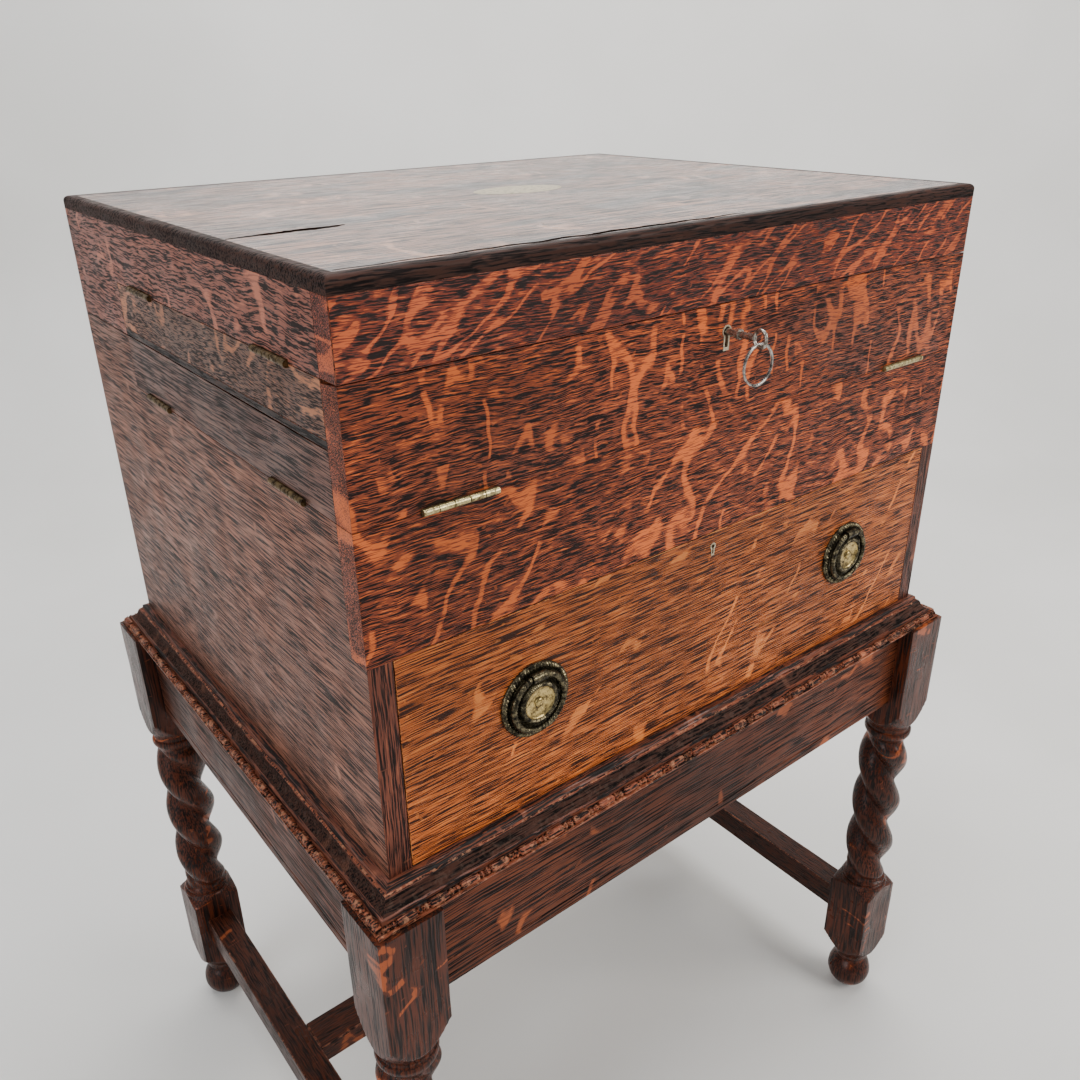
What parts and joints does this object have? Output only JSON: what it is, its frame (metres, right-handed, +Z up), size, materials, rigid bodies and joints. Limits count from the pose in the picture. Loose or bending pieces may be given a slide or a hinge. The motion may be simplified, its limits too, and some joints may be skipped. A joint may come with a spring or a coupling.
{
  "type": "sewing table",
  "caption": "Lidded work box with a fall front, folding side flaps and a drawer, on a stand with rope-twist legs and stretchers.",
  "frame": {"origin": "on the floor, under the middle of the table as it stands with its key in the lock", "axes": "+X to the right as seen from the front, the front faces -Y, +Z up"},
  "size_m": [0.522, 0.432, 0.75],
  "materials": {
    "front_oak": "figured oak, dark polished finish, worn",
    "drawer_oak": "figured oak, golden brown polished finish",
    "side_oak": "oak, grey-brown polished finish, worn",
    "top_oak": "veneered oak top, glossy, stained",
    "dark_trim": "dark stained oak, satin",
    "stand_oak": "dark stained oak, glossy polish",
    "inner_wood": "plain unpolished wood",
    "pale_plaque": "dull pale metal, worn",
    "hinge_brass": "pale worn brass",
    "antique_brass": "darkened antique brass",
    "steel": "dull steel"
  },
  "bodies": {
    "case": {"leg_front_left": "stand_oak", "leg_front_right": "stand_oak", "leg_back_left": "stand_oak", "leg_back_right": "stand_oak", "front_apron": "stand_oak", "back_apron": "stand_oak", "side_aprons": "stand_oak", "stand_moulding": "stand_oak", "side_stretchers": "stand_oak", "cross_stretcher": "stand_oak", "stand_cleats": "inner_wood", "case_screws": "steel", "case_left_side": "side_oak", "case_right_side": "side_oak", "case_back": "side_oak", "front_rail": "front_oak", "well_floor": "inner_wood", "case_bottom": "inner_wood", "drawer_guides": "inner_wood", "lid_hinge_case_leaves": "hinge_brass", "fall_hinge_case_leaves": "hinge_brass", "lower_hinge_case_leaves": "hinge_brass"},
    "lid": {"lid_top": "top_oak", "lid_edge_bead": "dark_trim", "lid_front": "front_oak", "lid_back": "side_oak", "lid_left_side": "side_oak", "lid_right_side": "side_oak", "lid_plaque": "pale_plaque", "lock_striker": "antique_brass", "lid_hinge_lid_leaves": "hinge_brass", "upper_hinge_lid_leaves": "hinge_brass"},
    "fall": {"fall_front": "front_oak", "fall_escutcheon": "antique_brass", "fall_lock": "antique_brass", "fall_hinge_fall_leaves": "hinge_brass"},
    "lock_bolt": {"fall_lock_bolt": "antique_brass"},
    "key": {"key": "steel"},
    "key_ring": {"key_ring": "steel"},
    "lower_flap_left": {"lower_flap_left": "side_oak", "lower_hinge_left_leaves": "hinge_brass"},
    "lower_flap_right": {"lower_flap_right": "side_oak", "lower_hinge_right_leaves": "hinge_brass"},
    "upper_flap_left": {"upper_flap_left": "side_oak", "upper_lip_left": "dark_trim", "upper_hinge_left_leaves": "hinge_brass"},
    "upper_flap_right": {"upper_flap_right": "side_oak", "upper_lip_right": "dark_trim", "upper_hinge_right_leaves": "hinge_brass"},
    "drawer": {"drawer_front": "drawer_oak", "drawer_sides": "inner_wood", "drawer_back": "inner_wood", "drawer_bottom": "inner_wood", "drawer_lock": "antique_brass", "drawer_escutcheon": "antique_brass", "pull_backplates": "antique_brass"},
    "pull_ring_left": {"pull_ring_left": "antique_brass"},
    "pull_ring_right": {"pull_ring_right": "antique_brass"}
  },
  "joints": [
    {"name": "lid_hinge", "type": "hinge", "parent": "case", "child": "lid", "pos_m": [0, 0.1956, 0.672], "axis": [-1, 0, 0], "range_deg": [0, 100]},
    {"name": "fall_hinge", "type": "hinge", "parent": "case", "child": "fall", "pos_m": [0, -0.1876, 0.637], "axis": [1, 0, 0], "range_deg": [0, 130]},
    {"name": "lower_flap_left_hinge", "type": "hinge", "parent": "case", "child": "lower_flap_left", "pos_m": [-0.2406, -0.0305, 0.637], "axis": [0, -1, 0], "range_deg": [0, 178]},
    {"name": "lower_flap_right_hinge", "type": "hinge", "parent": "case", "child": "lower_flap_right", "pos_m": [0.2406, -0.0305, 0.637], "axis": [0, 1, 0], "range_deg": [0, 178]},
    {"name": "upper_flap_left_hinge", "type": "hinge", "parent": "lid", "child": "upper_flap_left", "pos_m": [-0.2406, -0.0305, 0.705], "axis": [0, 1, 0], "range_deg": [0, 178]},
    {"name": "upper_flap_right_hinge", "type": "hinge", "parent": "lid", "child": "upper_flap_right", "pos_m": [0.2406, -0.0305, 0.705], "axis": [0, -1, 0], "range_deg": [0, 178]},
    {"name": "drawer_slide", "type": "slide", "parent": "case", "child": "drawer", "axis": [0, -1, 0], "range_m": [0, 0.28]},
    {"name": "pull_ring_left_hinge", "type": "hinge", "parent": "drawer", "child": "pull_ring_left", "pos_m": [-0.1405, -0.1913, 0.52169], "axis": [-1, 0, 0], "range_deg": [0, 85]},
    {"name": "pull_ring_right_hinge", "type": "hinge", "parent": "drawer", "child": "pull_ring_right", "pos_m": [0.1405, -0.1913, 0.52169], "axis": [-1, 0, 0], "range_deg": [0, 85]},
    {"name": "key_turn", "type": "hinge", "parent": "fall", "child": "key", "pos_m": [0, -0.187, 0.689], "axis": [0, 1, 0], "range_deg": [0, 90]},
    {"name": "bolt_throw", "type": "slide", "parent": "fall", "child": "lock_bolt", "axis": [0, 0, 1], "range_m": [0, 0.005]},
    {"name": "key_ring_swing", "type": "hinge", "parent": "key", "child": "key_ring", "pos_m": [0, -0.211, 0.6842], "axis": [0, 1, 0], "range_deg": [-90, 90]}
  ],
  "couplings": [
    {"joint": "key_turn", "follows": "bolt_throw", "rad_per_m": 314}
  ]
}
